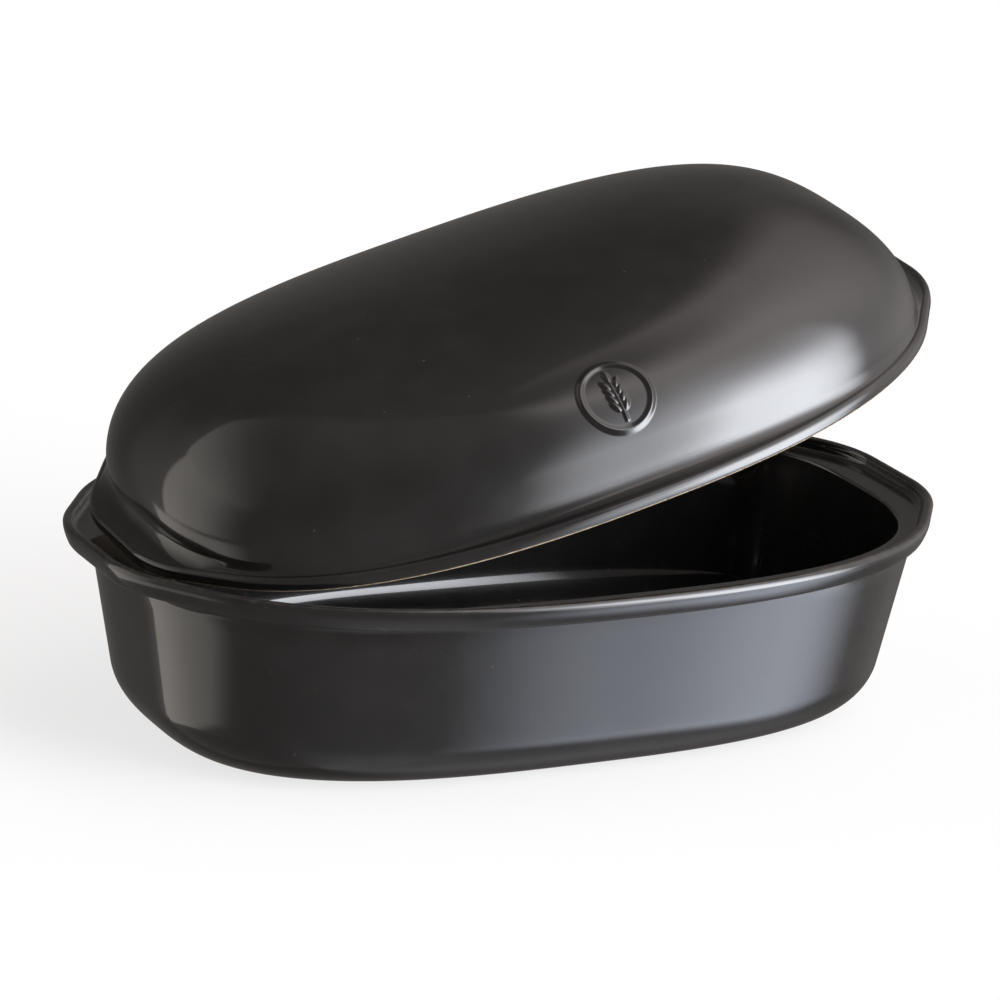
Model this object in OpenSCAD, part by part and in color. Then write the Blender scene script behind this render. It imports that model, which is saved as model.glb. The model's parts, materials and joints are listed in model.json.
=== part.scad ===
// Bread cloche: a stoneware baking dish and the domed lid that sits inside its rim.
// +X runs along the length, +Y to the back and +Z up. The origin is on the table,
// under the middle of the dish. The lid stands propped open on its left grip.

/* [Rim] */
// Length over the two grips
rim_length = 360; // [330:1:400]
// Width over the rim
rim_width = 239.5; // [215:1:265]
// Squareness of the rim's oval, where 2 is an ellipse
rim_power = 2.45; // [2:0.05:3]
// How far each grip stands out past the oval
grip_reach = 4.6; // [3:0.1:10]
// Half width of a grip's blunt end
grip_half = 15; // [8:0.5:26]
// Corner radius of a grip
grip_radius = 58; // [40:1:66]
// Height of the rim's crest over the table
dish_height = 83.6; // [70:1:110]
// Height of the rim's outer face
rim_face = 9.4; // [8:0.2:14]
// How steeply the rim's outer face leans in at its lower edge, in degrees
rim_slope = 24; // [0:1:35]
// Radius of the rim's lower outer edge
rim_edge = 2.7; // [0.8:0.1:4]
// Thickness of the lip round the lid
lip_thick = 4.2; // [3.4:0.1:5.4]
// Depth of the ledge under the lip's crest
lip_depth = 5.2; // [4.4:0.1:7]
// Radius where the lip meets the ledge
lip_fillet = 2.8; // [0.8:0.1:4]

/* [Body] */
// How far the rim stands out over the wall at the ends
end_overhang = 8.8; // [6:0.5:16]
// How far the rim stands out over the wall at the sides
side_overhang = 14.8; // [9:0.5:20]
// Squareness of the body's oval
body_power = 2.84; // [2.2:0.02:3.2]
// Slope of the wall from upright, in degrees
wall_draft = 10.2; // [3:0.1:14]
// Thickness of the body's wall
body_wall = 6.4; // [4.2:0.1:8]
// Thickness of the floor
floor_thick = 6.4; // [4:0.1:10]
// Radius where the outer wall turns under
heel_radius = 25; // [12:1:32]
// Radius where the inner wall meets the floor
floor_radius = 20; // [8:1:26]
// Height of the hollow curve under the rim
cove_height = 5; // [2:0.5:10]
// Radius of the opening's edge
edge_radius = 1.4; // [0.6:0.1:2.5]
// Width of the bare foot ring
foot_width = 9; // [5:0.5:16]
// Height of the recess inside the foot ring
foot_rise = 1.2; // [0.5:0.1:3]

/* [Lid] */
// Gap between the lid's edge and the lip
lid_play = 0.8; // [0.7:0.1:3]
// Gap under the lid when it's shut
seat_gap = 0.3; // [0.2:0.05:0.6]
// Thickness of the lid's flange
flange_thick = 5.8; // [4.4:0.1:8]
// Radius of the flange's lower edge
flange_edge = 1.6; // [0.8:0.1:1.9]
// Radius of the flange's upper edge
flange_round = 2.5; // [1.5:0.1:3]
// Width of the flange at the ends, without the grips' reach
flange_ends = 7; // [5.5:0.1:11]
// Width of the flange at the middle of the long sides
flange_sides = 9.4; // [6:0.1:15]
// Height of the hollow curve at the foot of the dome
dome_cove = 5.6; // [2:0.2:7]
// Height of the lid from its lower face to its crown
lid_height = 63; // [45:1:90]
// Squareness of the dome's oval
dome_power = 2.84; // [2.2:0.02:3.2]
// Uprightness of the dome's ends
end_shoulder = 3.6; // [1.8:0.05:3.8]
// Fullness of the dome's crown along the length
end_crown = 2.15; // [1.9:0.05:3.2]
// Uprightness of the dome's sides
side_shoulder = 1.65; // [1.5:0.05:3]
// Fullness of the dome's crown across the width
side_crown = 2.75; // [1.9:0.05:3.2]
// Roundness of the dome along the middle of its crown
crown_softness = 0.1; // [0.04:0.02:0.3]
// Thickness of the dome's wall
dome_wall = 6.2; // [4.4:0.1:8]

/* [Medallion] */
// Height of the medallion's middle over the lid's lower face
medallion_height = 38; // [26:0.5:44]
// How far the medallion lies from the middle, towards the raised end
medallion_offset = 2.5; // [-10:0.5:10]
// Radius of the medallion's raised ring
medallion_radius = 15.2; // [8:0.2:18]
// Width of the raised ring
medallion_ring = 2.8; // [1.5:0.1:5]
// How far the ring stands out from the dome
ring_relief = 0.9; // [0.5:0.1:1.5]
// How far the bare field inside the ring stands out
field_relief = 0.4; // [0.2:0.1:1]

/* [Propped lid] */
// Angle at which the lid stands open, in degrees
lid_tilt = 15.7; // [0:0.1:60]
// Direction of the line that the lid tips about, in degrees from +X
tip_heading = -74; // [-90:0.1:-60]
// Height of that line over the lid's lower face
tip_height = 30; // [12:0.1:36]
// How far that line lies inside the lid's edge
tip_inset = 3.6; // [0:0.1:5]

/* [Hidden] */

// Points round each ring, at equal steps of the outline's heading
ring_points = 84;
headings = [for (i = [0:ring_points - 1]) (i + 0.5) * 360 / ring_points];

oval_half_l = rim_length / 2 - grip_reach;
oval_half_w = rim_width / 2;
body_half_l = oval_half_l - end_overhang;
body_half_w = oval_half_w - side_overhang;
crest_r = lip_thick / 2;
fillet_r = min(lip_fillet, lip_depth - crest_r);
ledge_z = dish_height - lip_depth;
under_z = dish_height - rim_face;
floor_z = foot_rise + floor_thick;
lid_inset = lip_thick + lid_play;
dome_half_l = oval_half_l - lid_inset - flange_ends;
dome_half_w = oval_half_w - lid_inset - flange_sides;
dome_rise = lid_height - flange_thick;

// Point of a superellipse whose outward normal points at heading h
function oval_point(a, b, power, h) =
    let (q = power / (power - 1),
         u = a * abs(cos(h)),
         v = b * abs(sin(h)),
         s = pow(pow(u, q) + pow(v, q), 1 / q))
    [a * sign(cos(h)) * pow(u / s, q - 1), b * sign(sin(h)) * pow(v / s, q - 1)];

// Point of the rim's outline, an oval drawn tight round the rounded corners of the grips
function rim_point(inset, h) =
    let (n = [cos(h), sin(h)],
         oval = oval_point(oval_half_l - inset, oval_half_w - inset, rim_power, h),
         r = grip_radius - inset,
         grip = [sign(n.x) * (rim_length / 2 - grip_radius), sign(n.y) * grip_half] + r * n)
    oval * n > grip * n ? oval : grip;

function body_point(inset, h) =
    oval_point(body_half_l - inset, body_half_w - inset, body_power, h);

// Rings at a height on each outline, and part of the way from the body's to the rim's.
// The lid's outline runs inside the lip, at one clearance all the way round
function body_ring(inset, z) = [for (h = headings) [each body_point(inset, h), z]];
function rim_ring(inset, z) = [for (h = headings) [each rim_point(inset, h), z]];
function lid_ring(inset, z) = rim_ring(lid_inset + inset, z);
function between_ring(share, body_inset, rim_inset, z) =
    [for (h = headings)
        [each ((1 - share) * body_point(body_inset, h) + share * rim_point(rim_inset, h)), z]];

// The drafted wall's inset at a height, and the arc that turns it into a floor
function wall_inset(z) = tan(wall_draft) * (under_z - z);
function heel_arc(floor, radius, wall, steps) =
    let (foot_of_wall = floor + radius * (1 - sin(wall_draft)),
         middle = wall + wall_inset(foot_of_wall) + radius * cos(wall_draft))
    [for (i = [0:steps])
        let (a = wall_draft + (90 - wall_draft) * i / steps)
        [middle - radius * cos(a), floor + radius * (1 - sin(a))]];
function reversed(list) = [for (i = [len(list) - 1:-1:0]) list[i]];

// A closed skin through rings that run from one pole to the other
module loft(start, rings, end) {
    n = len(rings[0]);
    last = len(rings) - 1;
    at = function (ring, i) 1 + ring * n + i % n;
    pole = 1 + len(rings) * n;
    polyhedron(
        points = concat([start], [for (ring = rings) each ring], [end]),
        faces = concat(
            [for (i = [0:n - 1]) [0, at(0, i), at(0, i + 1)]],
            [for (j = [0:last - 1], i = [0:n - 1])
                each [[at(j, i), at(j + 1, i), at(j + 1, i + 1)],
                      [at(j, i), at(j + 1, i + 1), at(j, i + 1)]]],
            [for (i = [0:n - 1]) [at(last, i), pole, at(last, i + 1)]]));
}

// Dish: foot ring, heel, drafted wall, overhanging rim, lip, ledge and basin
module baking_dish() {
    heel = heel_arc(0, heel_radius, 0, 7);
    basin = heel_arc(floor_z, floor_radius, body_wall, 6);
    foot_in = heel[7].x + foot_width;
    cove_z = under_z - cove_height;
    edge_z = ledge_z - edge_radius;
    edge_in = body_wall + wall_inset(edge_z) - edge_radius;

    underside = [body_ring(foot_in + foot_rise, foot_rise), body_ring(foot_in, 0)];
    outer_wall = [for (p = reversed(heel)) body_ring(p.x, p.y)];
    face_foot = under_z + rim_edge * (1 - sin(rim_slope));
    face_rise = dish_height - crest_r - face_foot;
    face_lean = face_rise * tan(rim_slope) / 1.5;
    rim_in = face_lean + rim_edge * cos(rim_slope);
    cove = [for (t = [0:30:90])
        between_ring(0.45 * (1 - cos(t)), wall_inset(cove_z), rim_in, cove_z + cove_height * sin(t))];
    rim_foot = [for (t = [0:(90 - rim_slope) / 3:90.01 - rim_slope])
        rim_ring(rim_in - rim_edge * sin(t), under_z + rim_edge * (1 - cos(t)))];
    rim_side = [for (up = [0.3, 0.65])
        rim_ring(face_lean * pow(1 - up, 1.5), face_foot + face_rise * up)];
    crest = [for (t = [0:22.5:180])
        rim_ring(crest_r * (1 - cos(t)), dish_height - crest_r * (1 - sin(t)))];
    fillet = [for (t = [0:30:90])
        rim_ring(lip_thick + fillet_r * (1 - cos(t)), ledge_z + fillet_r * (1 - sin(t)) - 0.001)];
    opening = [for (t = [0:30:90])
        body_ring(edge_in + edge_radius * sin(t), edge_z + edge_radius * cos(t))];
    inner_wall = [for (p = basin) body_ring(p.x, p.y)];

    color("#35332f")
        loft([0, 0, foot_rise],
             concat(underside, outer_wall, cove, rim_foot, rim_side, crest, fillet, opening, inner_wall),
             [0, 0, floor_z]);
}

// Half width of a dome at a share of its rise, as a share of the half width at its foot
function side_width(share) =
    let (bend = side_shoulder / 2,
         ridge = pow(crown_softness, side_shoulder),
         span = pow(1 + pow(crown_softness, 2), bend) - ridge,
         across = (1 - pow(share, side_crown)) * span + ridge)
    sqrt(pow(across, 1 / bend) - pow(crown_softness, 2));

// Ring of a dome at a share of its rise, from its foot at 0 to its crown at 1
function dome_ring(half_l, half_w, foot_z, rise, share) =
    let (a = half_l * pow(1 - pow(share, end_crown), 1 / end_shoulder),
         b = half_w * side_width(share))
    [for (h = headings) [each oval_point(a, b, dome_power, h), foot_z + rise * share]];

// Outer form of the dome, grown by a relief
module dome_form(relief) {
    loft([0, 0, flange_thick],
         [for (t = [0:5:85])
             dome_ring(dome_half_l + relief, dome_half_w + relief, flange_thick,
                       dome_rise + relief, sin(t))],
         [0, 0, lid_height + relief]);
}

// Bare round medallion on the dome's front: a raised ring round a shallow field
module medallion() {
    share = (medallion_height - flange_thick) / dome_rise;
    front = -dome_half_w * side_width(share);
    above = -dome_half_w * side_width(share + 1 / dome_rise);
    field = medallion_radius - medallion_ring;

    module on_front() {
        translate([medallion_offset, front, medallion_height])
            rotate([90 - atan2(above - front, 1), 0, 0])
                children();
    }

    intersection() {
        dome_form(ring_relief);
        on_front() difference() {
            cylinder(h = 20, r = medallion_radius, center = true, $fn = 48);
            cylinder(h = 21, r = field, center = true, $fn = 48);
        }
    }
    intersection() {
        dome_form(field_relief);
        on_front() cylinder(h = 20, r = field + 0.2, center = true, $fn = 48);
    }
}

// Lid as it sits when shut, with its lower face at height 0
module shut_lid() {
    cove_share = dome_cove / dome_rise;
    foot = dome_ring(dome_half_l, dome_half_w, flange_thick, dome_rise, cove_share);
    shelf = lid_ring(flange_round, flange_thick);
    inner_l = dome_half_l - dome_wall;
    inner_w = dome_half_w - dome_wall;
    inner_rise = lid_height - dome_wall;

    inner = [for (t = [84:-10:4]) dome_ring(inner_l, inner_w, 0, inner_rise, sin(t))];
    seat = [dome_ring(inner_l, inner_w, 0, inner_rise, 0)];
    lower_edge = [for (t = [0:30:90])
        lid_ring(flange_edge * (1 - sin(t)), flange_edge * (1 - cos(t)))];
    upper_edge = [for (t = [0:22.5:90])
        lid_ring(flange_round * (1 - cos(t)), flange_thick - flange_round * (1 - sin(t)))];
    cove = [for (t = [18:18:90])
        [for (i = [0:ring_points - 1])
            let (mix = shelf[i] + sin(t) * (foot[i] - shelf[i]))
            [mix.x, mix.y, shelf[i].z + (1 - cos(t)) * (foot[i].z - shelf[i].z)]]];
    first = asin(cove_share);
    dome = [for (t = [first + 5:(85 - first - 5) / 12:85.1])
        dome_ring(dome_half_l, dome_half_w, flange_thick, dome_rise, sin(t))];

    loft([0, 0, inner_rise],
         concat(inner, seat, lower_edge, upper_edge, cove, dome),
         [0, 0, lid_height]);
}

// Point on the line that the lid tips about, beside the edge of its propped grip
tip_point = [each rim_point(lid_inset + tip_inset, tip_heading - 90), ledge_z + seat_gap + tip_height];

module domed_lid() {
    color("#3b3936")
        translate(tip_point)
            rotate(a = lid_tilt, v = [cos(tip_heading), sin(tip_heading), 0])
                translate(-tip_point)
                    translate([0, 0, ledge_z + seat_gap])
                        union() {
                            shut_lid();
                            medallion();
                        }
}

baking_dish();
domed_lid();
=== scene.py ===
"""Looks of an oval stoneware bread cloche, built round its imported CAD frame.

The dish and the domed lid are drawn again in their CAD sizes, with finer rings than the solids
have, and get a charcoal glaze, a thinner film along their edges, and bare clay where a kiln shelf
or the other piece carries them. A round medallion with an ear of wheat is pressed on the lid.
Sizes are in millimetres until a mesh is placed, because Blender works in metres.
"""

import json
import logging
import math
from collections.abc import Callable
from dataclasses import dataclass
from enum import Enum

import bmesh
import bpy
from mathutils import Matrix, Vector

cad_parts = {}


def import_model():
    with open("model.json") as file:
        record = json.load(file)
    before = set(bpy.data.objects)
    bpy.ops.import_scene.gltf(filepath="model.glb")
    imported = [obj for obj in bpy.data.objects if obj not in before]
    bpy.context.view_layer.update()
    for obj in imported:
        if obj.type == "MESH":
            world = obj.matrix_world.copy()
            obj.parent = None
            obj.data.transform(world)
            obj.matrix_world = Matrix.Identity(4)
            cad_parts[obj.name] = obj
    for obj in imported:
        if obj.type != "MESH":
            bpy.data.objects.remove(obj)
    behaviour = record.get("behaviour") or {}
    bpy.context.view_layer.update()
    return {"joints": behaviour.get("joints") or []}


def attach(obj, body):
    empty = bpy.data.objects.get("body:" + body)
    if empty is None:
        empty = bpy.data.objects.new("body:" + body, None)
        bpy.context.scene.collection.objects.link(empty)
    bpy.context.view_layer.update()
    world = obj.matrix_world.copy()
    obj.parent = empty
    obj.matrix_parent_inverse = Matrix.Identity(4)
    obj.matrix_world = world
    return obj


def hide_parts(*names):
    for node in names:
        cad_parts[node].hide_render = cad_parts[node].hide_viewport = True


LOG = logging.getLogger("bread_cloche")
MM = 0.001
FULL_TURN = 2 * math.pi

Colour = tuple[float, float, float]
Point = tuple[float, float, float]
PlanPoint = tuple[float, float]


class Film(Enum):
    """Point attributes that say what covers the clay."""

    THIN = "glaze_thin"
    BARE = "clay_bare"


@dataclass(frozen=True)
class Oval:
    """A superellipse in plan."""

    half_length: float
    half_width: float
    power: float

    def inside(self, inset: float) -> "Oval":
        """Makes a smaller oval, at a distance inside this one along both axes."""
        return Oval(self.half_length - inset, self.half_width - inset, self.power)

    def point(self, heading: float) -> PlanPoint:
        """Finds the point whose outward normal points along a heading.

        Args:
            heading: Direction of the normal, in radians from +X.

        Returns:
            The point's x and y.
        """
        bend = self.power / (self.power - 1)
        cosine, sine = math.cos(heading), math.sin(heading)
        along = self.half_length * abs(cosine)
        across = self.half_width * abs(sine)
        reach = (along**bend + across**bend) ** (1 / bend)
        return (
            math.copysign(self.half_length * (along / reach) ** (bend - 1), cosine),
            math.copysign(self.half_width * (across / reach) ** (bend - 1), sine),
        )


@dataclass(frozen=True)
class RimOutline:
    """The rim in plan: an oval drawn tight round the rounded corners of two grips."""

    oval: Oval = Oval(175.4, 119.75, 2.45)
    half_reach: float = 180.0
    grip_half: float = 15.0
    grip_radius: float = 58.0

    def point(self, inset: float, heading: float) -> PlanPoint:
        """Finds the outline's point at a heading.

        Args:
            inset: Distance inside the outline.
            heading: Direction of the outward normal, in radians from +X.

        Returns:
            The point's x and y.
        """
        cosine, sine = math.cos(heading), math.sin(heading)
        oval = self.oval.inside(inset).point(heading)
        radius = self.grip_radius - inset
        grip = (
            math.copysign(self.half_reach - self.grip_radius, cosine) + radius * cosine,
            math.copysign(self.grip_half, sine) + radius * sine,
        )
        farther = oval[0] * cosine + oval[1] * sine > grip[0] * cosine + grip[1] * sine
        return oval if farther else grip


@dataclass(frozen=True)
class Ring:
    """One ring of a skin and the film on it."""

    points: list[Point]
    thin: float = 0.0
    bare: float = 0.0

    def towards(self, other: "Ring", across: float, up: float) -> "Ring":
        """Makes a ring part of the way to another.

        Args:
            other: The ring to go towards.
            across: Share of the way in plan.
            up: Share of the way in height.

        Returns:
            The new ring, with no film.
        """
        shares = (across, across, up)
        return Ring(
            [
                tuple(a + share * (b - a) for a, b, share in zip(start, stop, shares))
                for start, stop in zip(self.points, other.points)
            ]
        )


@dataclass(frozen=True)
class Headings:
    """Headings of a ring's points, closer together where the body's outline bends."""

    outline: Oval
    count: int = 288
    fine_steps: int = 5760
    by_length: float = 0.5

    def values(self) -> list[float]:
        """Spreads the points over equal steps of length and of heading together.

        Returns:
            The headings in order, in radians.
        """
        step = FULL_TURN / self.fine_steps
        corners = [self.outline.point((i + 0.5) * step) for i in range(self.fine_steps + 1)]
        lengths = [math.dist(a, b) for a, b in zip(corners, corners[1:])]
        total = sum(lengths)
        measure = 0.0
        found: list[float] = []
        for index, length in enumerate(lengths):
            gain = self.by_length * length / total + (1 - self.by_length) / self.fine_steps
            while len(found) < self.count and (len(found) + 0.5) / self.count < measure + gain:
                part = ((len(found) + 0.5) / self.count - measure) / gain
                found.append((index + 0.5 + part) * step)
            measure += gain
        return found


def arc(start: float, stop: float, steps: int) -> list[float]:
    """Lists equal steps between two angles in degrees, both included, as radians."""
    return [math.radians(start + (stop - start) * i / steps) for i in range(steps + 1)]


def between(low: float, high: float, steps: int) -> list[float]:
    """Lists values strictly between two ends, at equal steps."""
    return [low + (high - low) * i / (steps + 1) for i in range(1, steps + 1)]


def cross_zero(excess: Callable[[float], float], low: float, high: float, rounds: int) -> float:
    """Halves a range round the place where a rising measure crosses 0, and returns that place.

    Args:
        excess: The measure.
        low: A place below the crossing.
        high: A place above it.
        rounds: How often the range is halved.

    Returns:
        The place of the crossing.
    """
    for _ in range(rounds):
        middle = (low + high) / 2
        if excess(middle) < 0:
            low = middle
        else:
            high = middle
    return low


def deselect_all() -> None:
    """Leaves object mode with nothing selected."""
    if bpy.context.object and bpy.context.object.mode != "OBJECT":
        bpy.ops.object.mode_set(mode="OBJECT")
    bpy.ops.object.select_all(action="DESELECT")


class Skin:
    """A closed skin, extruded ring by ring from a circle."""

    def __init__(self, name: str, count: int) -> None:
        """Adds the circle that the skin starts from.

        Args:
            name: Name of the piece.
            count: Points in each ring.
        """
        deselect_all()
        bpy.ops.mesh.primitive_circle_add(vertices=count, radius=1.0, location=(0.0, 0.0, 0.0))
        self.piece = bpy.context.object
        self.piece.name = name
        self.piece.data.name = name
        self.order = list(range(count))
        self.films: dict[int, tuple[float, float]] = {}

    def loft(self, start: Point, rings: list[Ring], end: Point) -> bpy.types.Object:
        """Draws the skin through its rings and closes both ends.

        Args:
            start: The pole before the first ring.
            rings: The rings in order.
            end: The pole after the last ring.

        Returns:
            The finished piece, at the origin.
        """
        bpy.ops.object.mode_set(mode="EDIT")
        first = list(self.order)
        self._place(rings[0])
        for ring in rings[1:]:
            self._extrude()
            self._place(ring)
        self._close(end, rings[-1])
        self._select(first)
        self.order = first
        self._close(start, rings[0])
        bpy.ops.mesh.select_all(action="SELECT")
        bpy.ops.mesh.normals_make_consistent(inside=False)
        bpy.ops.object.mode_set(mode="OBJECT")
        self._write_films()
        bpy.ops.object.shade_smooth_by_angle(angle=math.radians(40))
        return self.piece

    def _mesh(self) -> bmesh.types.BMesh:
        """Returns the edited mesh with its tables up to date.

        Returns:
            The mesh in edit mode.
        """
        mesh = bmesh.from_edit_mesh(self.piece.data)
        mesh.verts.ensure_lookup_table()
        mesh.verts.index_update()
        return mesh

    def _select(self, indices: list[int]) -> None:
        """Selects the edges of one ring.

        Args:
            indices: Numbers of the ring's points.
        """
        bpy.ops.mesh.select_all(action="DESELECT")
        mesh = self._mesh()
        wanted = set(indices)
        for index in indices:
            mesh.verts[index].select = True
        for edge in mesh.edges:
            edge.select = edge.verts[0].index in wanted and edge.verts[1].index in wanted
        bmesh.update_edit_mesh(self.piece.data)

    def _extrude(self) -> None:
        """Extrudes the selected ring and keeps its points in order."""
        bpy.ops.mesh.extrude_edges_move()
        mesh = self._mesh()
        place = {index: i for i, index in enumerate(self.order)}
        fresh = list(self.order)
        for vertex in mesh.verts[len(mesh.verts) - len(self.order) :]:
            for edge in vertex.link_edges:
                other = edge.other_vert(vertex).index
                if other in place:
                    fresh[place[other]] = vertex.index
        self.order = fresh

    def _place(self, ring: Ring) -> None:
        """Moves the newest ring to its points.

        Args:
            ring: The points and films that the ring gets.
        """
        mesh = self._mesh()
        for index, point in zip(self.order, ring.points):
            mesh.verts[index].co = Vector(point) * MM
            self.films[index] = (ring.thin, ring.bare)
        bmesh.update_edit_mesh(self.piece.data)

    def _close(self, pole: Point, ring: Ring) -> None:
        """Closes an end with a fan of faces that meet at its pole.

        Args:
            pole: Where the faces meet.
            ring: The last ring, whose film the pole takes.
        """
        self._extrude()
        bpy.ops.mesh.merge(type="CENTER")
        mesh = self._mesh()
        tip = next(vertex for vertex in mesh.verts if vertex.select)
        tip.co = Vector(pole) * MM
        self.films[tip.index] = (ring.thin, ring.bare)
        bmesh.update_edit_mesh(self.piece.data)

    def _write_films(self) -> None:
        """Stores what covers each point as attributes."""
        mesh = self.piece.data
        for slot, film in enumerate((Film.THIN, Film.BARE)):
            layer = mesh.attributes.new(film.value, "FLOAT", "POINT")
            for index, vertex in enumerate(layer.data):
                vertex.value = self.films[index][slot]


@dataclass(frozen=True)
class HeelArc:
    """Arc that turns a drafted wall into a floor."""

    floor: float
    radius: float
    wall: float
    draft: float
    top: float

    def inset(self, height: float) -> float:
        """Returns the wall's inset at a height."""
        return math.tan(self.draft) * (self.top - height)

    def points(self, steps: int) -> list[PlanPoint]:
        """Lists the arc's inset and height from the wall to the floor.

        Args:
            steps: Steps along the arc.

        Returns:
            Pairs of inset and height.
        """
        foot = self.floor + self.radius * (1 - math.sin(self.draft))
        middle = self.wall + self.inset(foot) + self.radius * math.cos(self.draft)
        turns = arc(math.degrees(self.draft), 90, steps)
        return [
            (middle - self.radius * math.cos(a), self.floor + self.radius * (1 - math.sin(a)))
            for a in turns
        ]


@dataclass(frozen=True)
class BakingDish:
    """The oval dish: foot ring, heel, drafted wall, overhanging rim, lip, ledge and basin."""

    headings: list[float]
    rim: RimOutline = RimOutline()
    body: Oval = Oval(166.6, 104.95, 2.84)
    height: float = 83.6
    rim_face: float = 9.4
    rim_slope: float = math.radians(24)
    rim_edge: float = 2.7
    lip_thick: float = 4.2
    lip_depth: float = 5.2
    lip_fillet: float = 2.8
    draft: float = math.radians(10.2)
    wall: float = 6.4
    floor_thick: float = 6.4
    heel_radius: float = 25.0
    floor_radius: float = 20.0
    cove_height: float = 5.0
    cove_spread: float = 0.45
    edge_radius: float = 1.4
    foot_width: float = 9.0
    foot_rise: float = 1.2
    foot_edge: float = 0.7
    middle_half_width: float = 3.0
    recess_insets: tuple[float, ...] = (92.0, 70.0, 50.0)
    recess_border: float = 6.0
    foot_thin: float = 0.35
    face_thin: float = 0.1
    crest_thin: float = 0.5
    opening_thin: float = 0.9

    @property
    def ledge(self) -> float:
        """Height of the ledge that carries the lid."""
        return self.height - self.lip_depth

    @property
    def under(self) -> float:
        """Height of the rim's underside."""
        return self.height - self.rim_face

    @property
    def face_foot(self) -> float:
        """Height at which the rim's outer face turns under."""
        return self.under + self.rim_edge * (1 - math.sin(self.rim_slope))

    @property
    def face_lean(self) -> float:
        """How far the rim's outer face leans in down to its foot."""
        rise = self.height - self.lip_thick / 2 - self.face_foot
        return rise * math.tan(self.rim_slope) / 1.5

    @property
    def under_inset(self) -> float:
        """Inset of the rim's flat underside."""
        return self.face_lean + self.rim_edge * math.cos(self.rim_slope)

    def body_ring(self, inset: float, height: float, **film: float) -> Ring:
        """Makes a ring on the body's outline."""
        oval = self.body.inside(inset)
        return Ring([(*oval.point(h), height) for h in self.headings], **film)

    def rim_ring(self, inset: float, height: float, **film: float) -> Ring:
        """Makes a ring on the rim's outline."""
        return Ring([(*self.rim.point(inset, h), height) for h in self.headings], **film)

    def rings(self) -> list[Ring]:
        """Lists the dish's rings from the middle of its underside to the middle of its floor.

        Returns:
            The rings in order.
        """
        return [
            *self._underside(),
            *self._outer_wall(),
            *self._lip(),
            *self._basin(),
        ]

    def _heel(self) -> HeelArc:
        """Returns the arc under the outer wall."""
        return HeelArc(0.0, self.heel_radius, 0.0, self.draft, self.under)

    def _underside(self) -> list[Ring]:
        """Lists the rings of the recess and the bare foot ring.

        Returns:
            The rings in order.
        """
        outer = self._heel().points(1)[-1][0]
        inner = outer + self.foot_width
        insets = (*self.recess_insets, inner + self.foot_rise + self.recess_border)
        rings = [self.body_ring(inset, self.foot_rise) for inset in insets]
        rings += [
            self.body_ring(
                inner + self.foot_rise * (1 - math.sin(a)),
                self.foot_rise * math.cos(a),
                bare=0.5 + 0.5 * math.sin(a),
            )
            for a in arc(0, 90, 5)
        ]
        rings.append(self.body_ring(outer + self.foot_edge, 0.0, bare=1.0))
        return rings

    def _outer_wall(self) -> list[Ring]:
        """Lists the rings of the heel, the wall and the hollow curve under the rim.

        Returns:
            The rings in order.
        """
        heel = self._heel()
        points = heel.points(20)[::-1]
        rings = [
            self.body_ring(*point, bare=max(0.0, 1.0 - step / 2))
            for step, point in enumerate(points)
        ]
        cove_foot = self.under - self.cove_height
        for height in between(points[-1][1], cove_foot, 9):
            rings.append(self.body_ring(heel.inset(height), height))
        inner = self.body_ring(heel.inset(cove_foot), cove_foot)
        outer = self.rim_ring(self.under_inset, self.under)
        return rings + [
            inner.towards(outer, self.cove_spread * (1 - math.cos(a)), math.sin(a))
            for a in arc(0, 90, 9)
        ]

    def _lip(self) -> list[Ring]:
        """Lists the rings of the rim's face, the lip's crest, its fillet and the ledge.

        Returns:
            The rings in order.
        """
        crest = self.lip_thick / 2
        fillet = min(self.lip_fillet, self.lip_depth - crest)
        rings = [
            self.rim_ring(
                self.under_inset - self.rim_edge * math.sin(a),
                self.under + self.rim_edge * (1 - math.cos(a)),
                thin=self.foot_thin * math.sin(a),
            )
            for a in arc(0, 90 - math.degrees(self.rim_slope), 7)
        ]
        face_rise = self.height - crest - self.face_foot
        for up in between(0.0, 1.0, 6):
            inset = self.face_lean * (1 - up) ** 1.5
            rings.append(
                self.rim_ring(inset, self.face_foot + face_rise * up, thin=self.face_thin)
            )
        rings += [
            self.rim_ring(
                crest * (1 - math.cos(a)),
                self.height - crest * (1 - math.sin(a)),
                thin=self.face_thin + self.crest_thin * math.sin(a),
            )
            for a in arc(0, 180, 16)
        ]
        rings += [
            self.rim_ring(
                self.lip_thick + fillet * (1 - math.cos(a)),
                self.ledge + fillet * (1 - math.sin(a)),
            )
            for a in arc(0, 90, 8)[1:]
        ]
        return rings

    def _basin(self) -> list[Ring]:
        """Lists the rings of the opening's edge, the inner wall and the floor.

        Returns:
            The rings in order.
        """
        heel = self._heel()
        edge_height = self.ledge - self.edge_radius
        inset = self.wall + heel.inset(edge_height) - self.edge_radius
        rings = [
            self.body_ring(
                inset + self.edge_radius * math.sin(a),
                edge_height + self.edge_radius * math.cos(a),
                thin=self.opening_thin * math.sin(2 * a),
            )
            for a in arc(0, 90, 7)
        ]
        floor = self.foot_rise + self.floor_thick
        basin = HeelArc(floor, self.floor_radius, self.wall, self.draft, self.under).points(14)
        for height in between(edge_height, basin[0][1], 7):
            rings.append(self.body_ring(self.wall + heel.inset(height), height))
        rings += [self.body_ring(*point) for point in basin]
        insets = between(basin[-1][0], self.body.half_width - self.middle_half_width, 4)
        return rings + [self.body_ring(inset, floor) for inset in insets]

    def build(self) -> bpy.types.Object:
        """Builds the dish.

        Returns:
            The dish, at the origin.
        """
        floor = self.foot_rise + self.floor_thick
        skin = Skin("stoneware_dish", len(self.headings))
        return skin.loft((0.0, 0.0, self.foot_rise), self.rings(), (0.0, 0.0, floor))


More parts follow.
